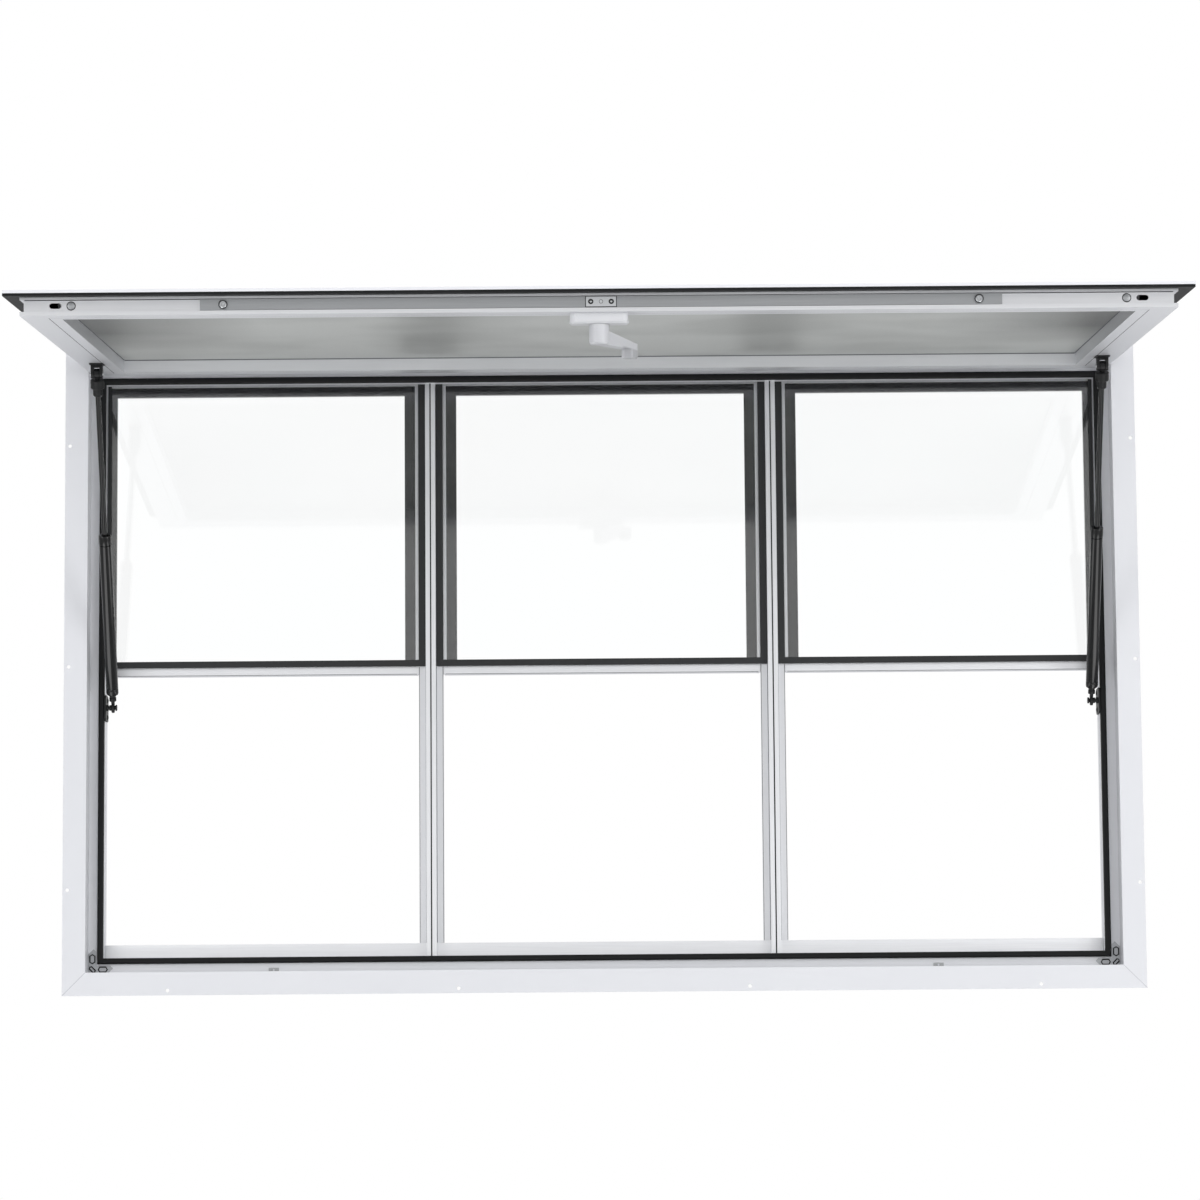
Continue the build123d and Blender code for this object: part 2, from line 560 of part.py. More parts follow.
def strut(side):
    """Tube and rod of one strut, in place."""
    stud_end = OPEN_X - SEAT - BRACKET_T - STUD_GAP
    eye = cyl_x(0, 0, EYE_R, -EYE_W / 2, EYE_W / 2)
    stud = cyl_x(0, 0, STUD_R, 0, stud_end - STRUT_X)
    tube = along(TUBE_D / 2, TUBE_START, tube_end)
    tube = chamfer(tube.faces().sort_by(Axis.Z)[0].edges(), TUBE_EDGE)
    tube += along(COLLAR_D / 2, tube_end - COLLAR_L, tube_end)
    tube -= along(TUBE_D / 2 - TUBE_WALL, TUBE_START + TUBE_WALL, tube_end - COLLAR_L)
    tube -= along(STRUT_ROD_D / 2 + PIN_CLEAR, tube_end - COLLAR_L - 1, tube_end + 1)
    tube += along(NECK_R, EYE_R / 2, TUBE_START + 1)
    tube += eye
    tube += stud
    rod = along(STRUT_ROD_D / 2, tube_end - ROD_BITE, strut_len - NECK_L - SOCKET_L / 2)
    rod += along(SOCKET_D / 2, strut_len - NECK_L - SOCKET_L, strut_len - NECK_L)
    rod += along(NECK_R, strut_len - NECK_L - 1, strut_len - EYE_R / 2)
    rod += Pos(0, 0, strut_len) * cyl_x(0, 0, EYE_R, -EYE_W / 2, EYE_W / 2)
    rod -= Pos(0, 0, strut_len) * cyl_x(0, 0, PIN_R + PIN_CLEAR, -EYE_W, EYE_W)
    seat = Plane(origin=(STRUT_X, STRUT_LOW_Y, STRUT_LOW_Z), x_dir=(1, 0, 0), z_dir=strut_dir)
    solids = [seat.location * tube, seat.location * rod]
    return solids if side > 0 else [mirror(s, Plane.YZ) for s in solids]


NODES["strut_tube_left"], NODES["strut_rod_left"] = strut(-1)
NODES["strut_tube_right"], NODES["strut_rod_right"] = strut(1)


def strut_bracket(side):
    """Plate on the jamb beside the strut's lower eye."""
    lo = (OPEN_X - SEAT - BRACKET_T, STRUT_LOW_Y - EYE_R, STRUT_LOW_Z - BRACKET_H / 2)
    hi = (OPEN_X - SEAT, STRUT_LOW_Y - EYE_R + BRACKET_REACH, STRUT_LOW_Z + BRACKET_H / 2)
    plate = box_between(lo, hi)
    plate = fillet(plate.edges().filter_by(Axis.X), EYE_R)
    return plate if side > 0 else mirror(plate, Plane.YZ)


NODES["strut_bracket_left"] = strut_bracket(-1)
NODES["strut_bracket_right"] = strut_bracket(1)

os.makedirs("parts", exist_ok=True)
for name, solid in NODES.items():
    export_step(solid, "parts/" + name + ".step")
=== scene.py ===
"""Looks of the concession window: finishes for its solids, and the small fittings they leave out."""
import json
from math import cos, pi, radians, sin

import bmesh
import bpy
from mathutils import Matrix, Vector


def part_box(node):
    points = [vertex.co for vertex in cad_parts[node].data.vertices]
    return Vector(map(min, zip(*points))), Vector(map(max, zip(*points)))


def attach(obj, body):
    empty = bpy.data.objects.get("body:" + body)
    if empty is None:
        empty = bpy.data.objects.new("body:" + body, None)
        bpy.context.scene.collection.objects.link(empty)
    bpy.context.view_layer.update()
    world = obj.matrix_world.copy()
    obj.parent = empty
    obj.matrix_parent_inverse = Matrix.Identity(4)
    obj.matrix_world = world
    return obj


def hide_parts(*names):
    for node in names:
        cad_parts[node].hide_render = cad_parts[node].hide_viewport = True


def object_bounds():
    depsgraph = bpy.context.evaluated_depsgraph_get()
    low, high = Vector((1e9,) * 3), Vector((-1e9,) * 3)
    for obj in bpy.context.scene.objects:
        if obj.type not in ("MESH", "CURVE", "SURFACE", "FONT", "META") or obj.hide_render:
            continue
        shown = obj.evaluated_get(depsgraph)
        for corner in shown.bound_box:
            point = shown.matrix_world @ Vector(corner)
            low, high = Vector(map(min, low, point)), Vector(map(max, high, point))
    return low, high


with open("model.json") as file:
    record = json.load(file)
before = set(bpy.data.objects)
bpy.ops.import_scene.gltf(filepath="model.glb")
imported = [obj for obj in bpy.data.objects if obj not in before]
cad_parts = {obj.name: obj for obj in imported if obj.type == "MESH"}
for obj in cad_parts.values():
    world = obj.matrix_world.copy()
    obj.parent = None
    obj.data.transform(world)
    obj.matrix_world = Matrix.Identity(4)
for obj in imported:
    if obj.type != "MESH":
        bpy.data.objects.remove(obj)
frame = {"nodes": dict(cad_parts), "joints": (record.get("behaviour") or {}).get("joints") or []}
cad_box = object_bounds()


# Frame: four aluminium extrusions, mitred at the corners and screwed to the wall through the flange.
# They are powder coated before assembly: even, cool white with a soft gloss and a faint orange peel.
COAT_LIGHT = "#E8E9EC"
COAT_SHADE = "#E1E2E6"
PEEL_MM = 2.2
DRIFT_MM = 190
DRIFT_GLOSS = 0.05
PEEL_STRENGTH = 0.25


def linear(hex_colour):
    """sRGB hex to linear RGBA."""
    parts = [int(hex_colour[i:i + 2], 16) / 255 for i in (1, 3, 5)]
    return [c / 12.92 if c <= 0.04045 else ((c + 0.055) / 1.055) ** 2.4 for c in parts] + [1.0]


def add(tree, kind, inputs=None, **settings):
    """Adds a node, with its settings and its input values or links."""
    made = tree.nodes.new(kind)
    for name, value in settings.items():
        setattr(made, name, value)
    for socket, value in (inputs or {}).items():
        if isinstance(value, bpy.types.NodeSocket):
            tree.links.new(value, made.inputs[socket])
        else:
            made.inputs[socket].default_value = value
    return made


def per_metre(size_mm):
    """Texture scale on metre coordinates for features of a size in millimetres."""
    return 1000.0 / size_mm


def blank(name, **sockets):
    """New material with constant values set on its shader, and its Object coordinates."""
    material = bpy.data.materials.new(name)
    material.use_nodes = True
    tree = material.node_tree
    shader = tree.nodes["Principled BSDF"]
    for socket, value in sockets.items():
        shader.inputs[socket.replace("_", " ")].default_value = value
    place = add(tree, "ShaderNodeTexCoord").outputs["Object"]
    return material, tree, shader, place


def link_surface(tree, shader, tone, gloss, bump):
    """Links the nodes of a tone, a gloss and a bump to a shader."""
    tree.links.new(tone.outputs["Color"], shader.inputs["Base Color"])
    tree.links.new(gloss.outputs["Result"], shader.inputs["Roughness"])
    tree.links.new(bump.outputs["Normal"], shader.inputs["Normal"])


def coated(name, light, shade, grain_mm, depth_mm, roughness, **sockets):
    """Painted, cast or moulded surface: slow drift of tone and a fine all-over grain."""
    material, tree, shader, place = blank(name, **sockets)
    drift = add(tree, "ShaderNodeTexNoise", {"Vector": place, "Scale": per_metre(DRIFT_MM), "Detail": 3.0})
    tone = add(tree, "ShaderNodeMixRGB",
               {"Fac": drift.outputs["Fac"], "Color1": linear(shade), "Color2": linear(light)})
    peel = add(tree, "ShaderNodeTexNoise", {"Vector": place, "Scale": per_metre(grain_mm), "Detail": 2.0})
    gloss = add(tree, "ShaderNodeMapRange",
                {"Value": drift.outputs["Fac"],
                 "To Min": roughness - DRIFT_GLOSS, "To Max": roughness + DRIFT_GLOSS})
    bump = add(tree, "ShaderNodeBump",
               {"Height": peel.outputs["Fac"], "Strength": PEEL_STRENGTH, "Distance": depth_mm / 1000})
    link_surface(tree, shader, tone, gloss, bump)
    return material


def dress(material, *nodes):
    """Gives CAD nodes a material."""
    for node in nodes:
        slots = frame["nodes"][node].data.materials
        slots.clear()
        slots.append(material)


powder_coat = coated("white powder coat", COAT_LIGHT, COAT_SHADE,
                     grain_mm=PEEL_MM, depth_mm=0.08, roughness=0.38)
dress(powder_coat, "frame_sill", "frame_head", "frame_jamb_left", "frame_jamb_right", "hinge_receiver")


# Mitre seams: the hairline joints at the flange's corners, filled with pale sealant.
# Each runs from the flange's outer corner to the corner of the rebate.
SEAM_W = 0.0006
SEAM_PROUD = 0.00005
SEAM_LIGHT = "#B4B5BA"
SEAM_SHADE = "#A9AAB0"
FLANGE_W = 0.034
SHARP_DEG = 35


def finish_piece(name, bm, materials, body):
    """Closes a bmesh into a named piece that rides on a body."""
    bmesh.ops.recalc_face_normals(bm, faces=bm.faces)
    mesh = bpy.data.meshes.new(name)
    bm.to_mesh(mesh)
    bm.free()
    mesh.shade_smooth()
    mesh.set_sharp_from_angle(angle=radians(SHARP_DEG))
    for material in materials:
        mesh.materials.append(material)
    piece = bpy.data.objects.new(name, mesh)
    bpy.context.scene.collection.objects.link(piece)
    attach(piece, body)
    return piece


sill_low, sill_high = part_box("frame_sill")
head_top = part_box("frame_head")[1].z
seam_paint = coated("seam sealant", SEAM_LIGHT, SEAM_SHADE, grain_mm=1.0, depth_mm=0.02, roughness=0.5)
seams = bmesh.new()
for x in (-1, 1):
    for z, edge in ((1, sill_low.z), (-1, head_top)):
        middle = Vector((x * (sill_high.x - FLANGE_W / 2), sill_low.y, edge + z * FLANGE_W / 2))
        turn = Matrix.Rotation(radians(45) * x * z, 4, "Y")
        size = Matrix.Diagonal((FLANGE_W * 2 ** 0.5, 2 * SEAM_PROUD, SEAM_W, 1))
        bmesh.ops.create_cube(seams, size=1.0, matrix=Matrix.Translation(middle) @ turn @ size)
finish_piece("flange_mitre_seams", seams, [seam_paint], "frame")


# Corner brackets and keepers: pressed zinc plates on the rebate's ledge.
# The brackets tie the mitres and carry three hexagon marks, whose grooves are painted dark as their shade.
ZINC_LIGHT = "#BDBFC2"
ZINC_SHADE = "#999B9E"
SPANGLE_MM = 1.6
GRIT_DEPTH_MM = 0.02
GRIT_GLOSS = 0.08
GRIT_STRENGTH = 0.2


def bare_metal(name, light, shade, grain_mm, roughness, stretch=(1, 1, 1), **sockets):
    """Uncoated metal: tone and gloss broken by a grain that may be drawn out along an axis."""
    material, tree, shader, place = blank(name, Metallic=1.0, **sockets)
    drawn = add(tree, "ShaderNodeMapping", {"Vector": place, "Scale": stretch})
    grit = add(tree, "ShaderNodeTexNoise",
               {"Vector": drawn.outputs["Vector"], "Scale": per_metre(grain_mm), "Detail": 4.0})
    tone = add(tree, "ShaderNodeMixRGB",
               {"Fac": grit.outputs["Fac"], "Color1": linear(shade), "Color2": linear(light)})
    gloss = add(tree, "ShaderNodeMapRange",
                {"Value": grit.outputs["Fac"],
                 "To Min": roughness - GRIT_GLOSS, "To Max": roughness + GRIT_GLOSS})
    bump = add(tree, "ShaderNodeBump",
               {"Height": grit.outputs["Fac"], "Strength": GRIT_STRENGTH, "Distance": GRIT_DEPTH_MM / 1000})
    link_surface(tree, shader, tone, gloss, bump)
    return material


zinc = bare_metal("zinc plate", ZINC_LIGHT, ZINC_SHADE, grain_mm=SPANGLE_MM, roughness=0.45)
dull_zinc = bare_metal("dull zinc plate", light="#BCBEC0", shade="#A2A4A6",
                       grain_mm=SPANGLE_MM, roughness=0.5)
dress(zinc, "corner_brackets")
dress(bare_metal("keeper zinc", light="#B6B8BA", shade="#A4A6A8",
                 grain_mm=SPANGLE_MM, roughness=0.5), "sill_keepers")

HEX_L = 0.0146
HEX_W = 0.0088
HEX_LINE = 0.0014
HEX_POINT = 0.6
GROOVE_FILL = 0.00064
GROOVE_SHADE_OVER = 0.0003
GROOVE_DEPTH = 0.0006
BRACKET_MID = 0.00625
BRACKET_REACH = 0.0217
groove_shade_paint = coated("painted groove shade", light="#121314", shade="#0C0D0D",
                     grain_mm=0.8, depth_mm=0.02, roughness=0.7, Specular_IOR_Level=0.2)
bracket_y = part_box("corner_brackets")[0].y
marks = bmesh.new()


def hexagon_loop(bm, centre, side, turn, shrink):
    """Closed loop of edges round a long hexagon in the ledge's plane."""
    half_l = HEX_L / 2 - shrink
    half_w = HEX_W / 2 - shrink
    flat = half_l - HEX_POINT * half_w
    outline = [(half_l, 0), (flat, half_w), (-flat, half_w),
               (-half_l, 0), (-flat, -half_w), (flat, -half_w)]
    c, s = cos(radians(turn)), sin(radians(turn))
    verts = [bm.verts.new(centre + Vector((-side * (c * a - s * b), 0, s * a + c * b)))
             for a, b in outline]
    return [bm.edges.new((verts[i], verts[i - 1])) for i in range(len(verts))]


for side in (-1, 1):
    corner = Vector((side * (sill_high.x - FLANGE_W), bracket_y + GROOVE_DEPTH, sill_low.z + FLANGE_W))
    for u, v, turn, shrink in ((BRACKET_REACH, BRACKET_MID, 0, 0), (BRACKET_MID, BRACKET_REACH, 90, 0),
                               (BRACKET_MID, BRACKET_MID, -45, HEX_LINE)):
        centre = corner + Vector((-side * u, 0, v))
        loops = hexagon_loop(marks, centre, side, turn, shrink - GROOVE_SHADE_OVER)
        loops += hexagon_loop(marks, centre, side, turn, shrink + HEX_LINE + GROOVE_SHADE_OVER)
        band = bmesh.ops.bridge_loops(marks, edges=loops)["faces"]
        raised = bmesh.ops.extrude_face_region(marks, geom=band)["geom"]
        lift = [g for g in raised if isinstance(g, bmesh.types.BMVert)]
        bmesh.ops.translate(marks, verts=lift, vec=(0, -GROOVE_FILL, 0))
finish_piece("bracket_hexagon_groove_shade", marks, [groove_shade_paint], "frame")


# Seals: extruded black rubber, a bulb gasket pressed into the frame and a flap seal under the awning's skin.
# Rubber is matt, with a dusty bloom that lightens it in patches.
RUBBER_LIGHT = "#161718"
RUBBER_SHADE = "#0F1011"
rubber = coated("black rubber", RUBBER_LIGHT, RUBBER_SHADE,
                grain_mm=0.9, depth_mm=0.05, roughness=0.62, Specular_IOR_Level=0.2)
dress(rubber, "frame_gasket", "awning_seal")


# Sill rail, mullions and sashes: drawn aluminium, satin anodised, slid together and screwed at the ends.
# The die leaves faint streaks along each length, so upright and level lengths have their own grain.
ANODISED_LIGHT = "#EBECEE"
ANODISED_SHADE = "#DCDDE0"
STREAK_MM = 1.4
STREAK_DRAW = 0.02
upright = (1, 1, STREAK_DRAW)
level = (STREAK_DRAW, 1, 1)
satin_upright = bare_metal("satin anodised, upright", ANODISED_LIGHT, ANODISED_SHADE,
                           grain_mm=STREAK_MM, roughness=0.42, stretch=upright)
satin_level = bare_metal("satin anodised, level", ANODISED_LIGHT, ANODISED_SHADE,
                         grain_mm=STREAK_MM, roughness=0.42, stretch=level)
TRACK_PAINTED_SHADE = "#D9DADD"
TRACK_FROM = 0.002
TRACK_TO = 0.006


def axes_of(tree):
    """Object coordinates, one output for each axis."""
    place = add(tree, "ShaderNodeTexCoord").outputs["Object"]
    return add(tree, "ShaderNodeSeparateXYZ", {"Vector": place}).outputs


def tint(material, share, colour):
    """Mixes a colour over a material's tone by a socket's value."""
    tree = material.node_tree
    base = tree.nodes["Principled BSDF"].inputs["Base Color"]
    over = add(tree, "ShaderNodeMixRGB",
               {"Fac": share, "Color1": base.links[0].from_socket, "Color2": linear(colour)})
    tree.links.new(over.outputs["Color"], base)


# The track faces, set back behind the mullion strips, are painted darker as their shade.
tree = satin_upright.node_tree
strip_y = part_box("mullion_left")[0].y
recess_shade_mask = add(tree, "ShaderNodeMapRange",
           {"Value": axes_of(tree)["Y"], "From Min": strip_y + TRACK_FROM, "From Max": strip_y + TRACK_TO})
tint(satin_upright, recess_shade_mask.outputs["Result"], TRACK_PAINTED_SHADE)
dress(satin_upright, "mullion_left", "mullion_right")

GROOVE_STRIP_W = 0.0017
GROOVE_STRIP_SINK = 0.0006
GROOVE_STRIP_DEEP = 0.003
GROOVE_STRIP_SHORT = 0.0001


def slab(bm, low, high, place=Matrix.Identity(4), material=0):
    """Box between two corners, set in place by a matrix."""
    size = Vector(high) - Vector(low)
    centre = (Vector(high) + Vector(low)) / 2
    shape = place @ Matrix.Translation(centre) @ Matrix.Diagonal((*size, 1))
    made = bmesh.ops.create_cube(bm, size=1.0, matrix=shape)
    for face in {f for v in made["verts"] for f in v.link_faces}:
        face.material_index = material


# A strip of the black rubber sits in each mullion's centre groove as painted shade.
groove_shade_strips = bmesh.new()
for side in ("left", "right"):
    low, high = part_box("mullion_" + side)
    mid = (low.x + high.x) / 2
    slab(groove_shade_strips, (mid - GROOVE_STRIP_W / 2, low.y + GROOVE_STRIP_SINK, low.z + GROOVE_STRIP_SHORT),
         (mid + GROOVE_STRIP_W / 2, low.y + GROOVE_STRIP_DEEP, high.z - GROOVE_STRIP_SHORT))
finish_piece("mullion_groove_shade_strips", groove_shade_strips, [rubber], "frame")

EDGE_W = 0.0009
EDGE_PROUD = 0.0001
EDGE_SHORT = 0.0005
STRIP_HALF = 0.0075
SASH_CORNER = 0.0032
SASH_LINE_UP = 0.0004
edge_grey = coated("edge shadow", light="#77797C", shade="#6B6D70",
                   grain_mm=0.8, depth_mm=0.02, roughness=0.7, Specular_IOR_Level=0.2)
# The grey lines along the track edges and under each sash rail are painted edge shade.
edges = bmesh.new()
sill_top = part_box("sill_rail")[1].z
track_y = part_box("fixed_pane_centre")[1].y
half = EDGE_W / 2
for side in ("left", "right"):
    low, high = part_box("mullion_" + side)
    mid = (low.x + high.x) / 2
    for x in (low.x + half, mid - STRIP_HALF - half, mid + STRIP_HALF + half, high.x - half):
        slab(edges, (x - half, track_y - EDGE_PROUD, sill_top + EDGE_SHORT),
             (x + half, track_y + EDGE_PROUD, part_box("fixed_pane_" + side)[0].z - EDGE_SHORT))
for bay in ("left", "centre", "right"):
    low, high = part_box("sliding_sash_" + bay)
    slab(edges, (low.x + SASH_CORNER, low.y - EDGE_PROUD, low.z + SASH_LINE_UP),
         (high.x - SASH_CORNER, low.y + EDGE_PROUD, low.z + SASH_LINE_UP + EDGE_W))
finish_piece("track_edge_lines", edges, [edge_grey], "frame")
dress(satin_level, "sill_rail", "sliding_sash_left", "sliding_sash_centre", "sliding_sash_right")


# Glazing: clear float glass with a black border baked on the fixed panes, and black bands in the sashes.
# The panes sit in the frame's slot and the sash glass in its sash. Both mirror the awning above them.
# A thin black line is painted down the two outer panes beside the jambs as the shade of the gap there.
BORDER_LIGHT = "#2B2C2D"
BORDER_SHADE = "#222324"
GLASS_TINT = "#FEFFFF"
HAZE_MM = 300
HAZE_ROUGH = 0.012
PANE_IOR = 1.36
SASH_IOR = 1.3
enamel = coated("black border enamel", BORDER_LIGHT, BORDER_SHADE,
                grain_mm=0.7, depth_mm=0.01, roughness=0.4, Specular_IOR_Level=0.3)
band_gloss = coated("black sash band", light="#0C0D0E", shade="#090A0A",
                    grain_mm=0.9, depth_mm=0.005, roughness=0.1, IOR=1.9)


def clear_glass(name, ior):
    """Float glass: colourless, with a trace of surface haze in slow patches."""
    material, tree, shader, place = blank(name, Transmission_Weight=1.0, IOR=ior)
    haze = add(tree, "ShaderNodeTexNoise", {"Vector": place, "Scale": per_metre(HAZE_MM), "Detail": 1.0})
    tone = add(tree, "ShaderNodeMixRGB",
               {"Fac": haze.outputs["Fac"], "Color1": linear("#FFFFFF"), "Color2": linear(GLASS_TINT)})
    clean = add(tree, "ShaderNodeMapRange",
                {"Value": haze.outputs["Fac"], "To Min": 0.0, "To Max": HAZE_ROUGH})
    tree.links.new(tone.outputs["Color"], shader.inputs["Base Color"])
    tree.links.new(clean.outputs["Result"], shader.inputs["Roughness"])
    return material


pane_glass = clear_glass("clear float glass", PANE_IOR)
sash_glass = clear_glass("clear sash glass", SASH_IOR)
for bay in ("left", "centre", "right"):
    dress(pane_glass, "fixed_pane_" + bay)
    dress(sash_glass, "sash_glass_" + bay)
    dress(enamel, "pane_border_" + bay)
    dress(band_gloss, "sash_gasket_" + bay)

JAMB_GAP_SHADE_W = 0.0052
JAMB_GAP_SHADE_IN = 0.0012
LINE_PROUD = 0.0002
jamb_gap_shade = bmesh.new()
for side, bay in ((-1, "left"), (1, "right")):
    pane_low, pane_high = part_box("fixed_pane_" + bay)
    band_low, band_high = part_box("sash_gasket_" + bay)
    inner = (band_low.x if side < 0 else band_high.x) - side * JAMB_GAP_SHADE_IN
    outer = inner + side * JAMB_GAP_SHADE_W
    slab(jamb_gap_shade, (min(inner, outer), pane_low.y - LINE_PROUD, pane_low.z),
         (max(inner, outer), pane_low.y, pane_high.z))
finish_piece("pane_jamb_gap_shade", jamb_gap_shade, [enamel], "frame")


# Awning: a mitred frame of anodised rails round a recessed inner sheet, under a white outer skin.
# The inner sheet is mill-finish aluminium, cloudy all over and soiled at its front corners.
# The rails hold the sheet in a groove, and the whole awning hangs from the hinge on the frame's head.
AWNING_LIGHT = "#DCDDDF"
AWNING_SHADE = "#D2D3D6"
SHEET_LIGHT = "#C0C2BF"
SHEET_SHADE = "#B0B2AF"
RAIL_EDGE = "#EEEEEF"
SHEET_EDGE = "#F4F4F4"
CLOUD_MM = 260
CLOUD_FROM = 0.38
CLOUD_TO = 0.58
SHEET_GRAIN_MM = 3.0
SHEET_GRAIN_DEEP = 0.0001
SHEET_SMOOTH = 0.36
SHEET_ROUGH = 0.52
SHEET_METAL = 0.85
SHEET_SHINE = 0.5
SHEET_STRENGTH = 0.15
SOIL = "#4C4D4C"
CORNER_SOIL = 0.7
SOIL_MATT = 0.9
SOIL_X_FROM = 0.46
SOIL_X_TO = 0.68
SOIL_Y_FROM = -0.22
SOIL_Y_TO = -0.48
across = bare_metal("awning rail, across", AWNING_LIGHT, AWNING_SHADE,
                    grain_mm=STREAK_MM, roughness=0.45, stretch=level, Specular_Tint=linear(RAIL_EDGE))
outward = bare_metal("awning rail, outward", AWNING_LIGHT, AWNING_SHADE,
                     grain_mm=STREAK_MM, roughness=0.45, stretch=(1, STREAK_DRAW, 1),
                     Specular_Tint=linear(RAIL_EDGE))
dress(across, "awning_free_rail", "awning_hinge_rail")
dress(outward, "awning_stile_left", "awning_stile_right")
dress(powder_coat, "awning_skin")
mill_sheet, tree, shader, place = blank("mill finish sheet", Specular_Tint=linear(SHEET_EDGE))
cloud = add(tree, "ShaderNodeTexNoise", {"Vector": place, "Scale": per_metre(CLOUD_MM), "Detail": 2.0})
haze = add(tree, "ShaderNodeTexNoise", {"Vector": place, "Scale": per_metre(SHEET_GRAIN_MM), "Detail": 4.0})
smudge = add(tree, "ShaderNodeMapRange",
             {"Value": cloud.outputs["Fac"], "From Min": CLOUD_FROM, "From Max": CLOUD_TO})
tone = add(tree, "ShaderNodeMixRGB",
           {"Fac": smudge.outputs["Result"], "Color1": linear(SHEET_SHADE), "Color2": linear(SHEET_LIGHT)})
axes = add(tree, "ShaderNodeSeparateXYZ", {"Vector": place})
off = add(tree, "ShaderNodeMath", {0: axes.outputs["X"]}, operation="ABSOLUTE")
ends = add(tree, "ShaderNodeMapRange",
           {"Value": off.outputs["Value"], "From Min": SOIL_X_FROM, "From Max": SOIL_X_TO})
front = add(tree, "ShaderNodeMapRange",
            {"Value": axes.outputs["Y"], "From Min": SOIL_Y_FROM, "From Max": SOIL_Y_TO})
corner = add(tree, "ShaderNodeMath", {0: ends.outputs["Result"], 1: front.outputs["Result"]},
             operation="MULTIPLY")
patchy = add(tree, "ShaderNodeMath", {0: corner.outputs["Value"], 1: CORNER_SOIL}, operation="MULTIPLY")
tone = add(tree, "ShaderNodeMixRGB",
           {"Fac": patchy.outputs["Value"], "Color1": tone.outputs["Color"], "Color2": linear(SOIL)})
gloss = add(tree, "ShaderNodeMapRange",
            {"Value": haze.outputs["Fac"], "To Min": SHEET_SMOOTH, "To Max": SHEET_ROUGH})
bump = add(tree, "ShaderNodeBump",
           {"Height": haze.outputs["Fac"], "Strength": SHEET_STRENGTH, "Distance": SHEET_GRAIN_DEEP})
link_surface(tree, shader, tone, gloss, bump)
bare = add(tree, "ShaderNodeMapRange",
           {"Value": patchy.outputs["Value"], "From Max": SOIL_MATT, "To Min": SHEET_METAL, "To Max": 0.0})
shine = add(tree, "ShaderNodeMapRange",
            {"Value": patchy.outputs["Value"], "From Max": SOIL_MATT, "To Min": SHEET_SHINE, "To Max": 0.0})
tree.links.new(bare.outputs["Result"], shader.inputs["Metallic"])
tree.links.new(shine.outputs["Result"], shader.inputs["Specular IOR Level"])
dress(mill_sheet, "awning_panel")


def joint(name):
    """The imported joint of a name."""
    return next(j for j in frame["joints"] if j["name"] == name)


hinge = joint("awning_hinge")
hinge_at = Vector(hinge["pos_m"])
to_open = (Matrix.Translation(hinge_at) @ Matrix.Rotation(-radians(hinge["range_deg"][1]), 4, "X")
           @ Matrix.Translation(-hinge_at))
AWNING_HALF = 0.751
AWNING_LOW = 0.027
AWNING_HIGH = 0.910
LIP_Y = 0.0145
PANEL_Y = -0.0035
RAIL_W = 0.050
LINE_IN = 0.034
JOINT_W = 0.0014
JOINT_UP = 0.0003
JOINT_DEEP = 0.0002
BEAD_UP = 0.0010
LINE_W = 0.0009
LINE_DEEP = 0.0008
LINE_SUNK = 0.00005
RIB_Y = -0.0063
RIB_SHORT = 0.006
RIB_PROUD = 0.0001
WEB_FACE = 0.032
# The lip line and the line under the rib are painted groove shade; the joint round the sheet and the hinge
# bead take the edge-shadow grey.
lines = bmesh.new()
rail_joint = (RAIL_W, JOINT_W, PANEL_Y - JOINT_DEEP, PANEL_Y + JOINT_UP, 1)
lip_line = (LINE_IN - LINE_W / 2, LINE_W, LIP_Y - LINE_DEEP, LIP_Y - LINE_SUNK, 0)
for inset, width, deep, face, grey in (rail_joint, lip_line):
    x, low, high = AWNING_HALF - inset, AWNING_LOW + inset, AWNING_HIGH - inset
    for side in (-1, 1):
        slab(lines, (side * x - (side + 1) * width / 2, deep, low),
             (side * x - (side - 1) * width / 2, face, high), to_open, grey)
    slab(lines, (width - x, deep, low), (x - width, face, low + width), to_open, grey)
    slab(lines, (width - x, deep, high - width), (x - width, face + grey * BEAD_UP, high), to_open, grey)
slab(lines, (-AWNING_HALF + RIB_SHORT, RIB_Y, WEB_FACE - RIB_PROUD),
     (AWNING_HALF - RIB_SHORT, RIB_Y + LINE_W, WEB_FACE + RIB_PROUD), to_open)
finish_piece("awning_joint_and_shade_lines", lines, [groove_shade_paint, edge_grey], "awning")


# Lock: a flat steel rod that slides in the awning's edge groove, with a roller stud near each end.
# A screwed plate joins it to the handle; the groove's own web is held by a pan screw at each end.
ROD_LIGHT = "#A8AAAC"
ROD_SHADE = "#97999B"
lock_zinc = bare_metal("zinc plated steel", ROD_LIGHT, ROD_SHADE,
                       grain_mm=1.2, roughness=0.42, stretch=level)
screw_steel = bare_metal("bright screw steel", light="#C4C6C8", shade="#A2A4A6",
                         grain_mm=0.8, roughness=0.3)
recess_shade = coated("painted recess shade", light="#1A1B1C", shade="#141515",
                      grain_mm=0.8, depth_mm=0.01, roughness=0.6)
plate_zinc = bare_metal("bright plate", light="#CBCDCF", shade="#BBBDBF",
                        grain_mm=1.2, roughness=0.4, stretch=level)
dress(lock_zinc, "lock_rod")
dress(plate_zinc, "lock_plate")
WEB_Y = 0.0015
ROLLER_Z = 0.0257
PLATE_Z = 0.0267
ROLLER_X = 0.490
LOCK_SHIFT = 0.0028
WEB_SCREW_X = 0.6845
ROD_Z = 0.0287
PLATE_SCREW_X = 0.0133
UNDER_PLATE_HALF = 0.0205
UNDER_PLATE_OUT = 0.0003
UNDER_PLATE_IN = 0.0001
ROD_LOW_Y = -0.0058
ROD_HIGH_Y = 0.0088
PLATE_LINE = 0.0009
PLATE_LINE_SHORT = 0.001
PLATE_LINE_PROUD = 0.0001
SPIN_STEPS = 28
WELD = 1e-7


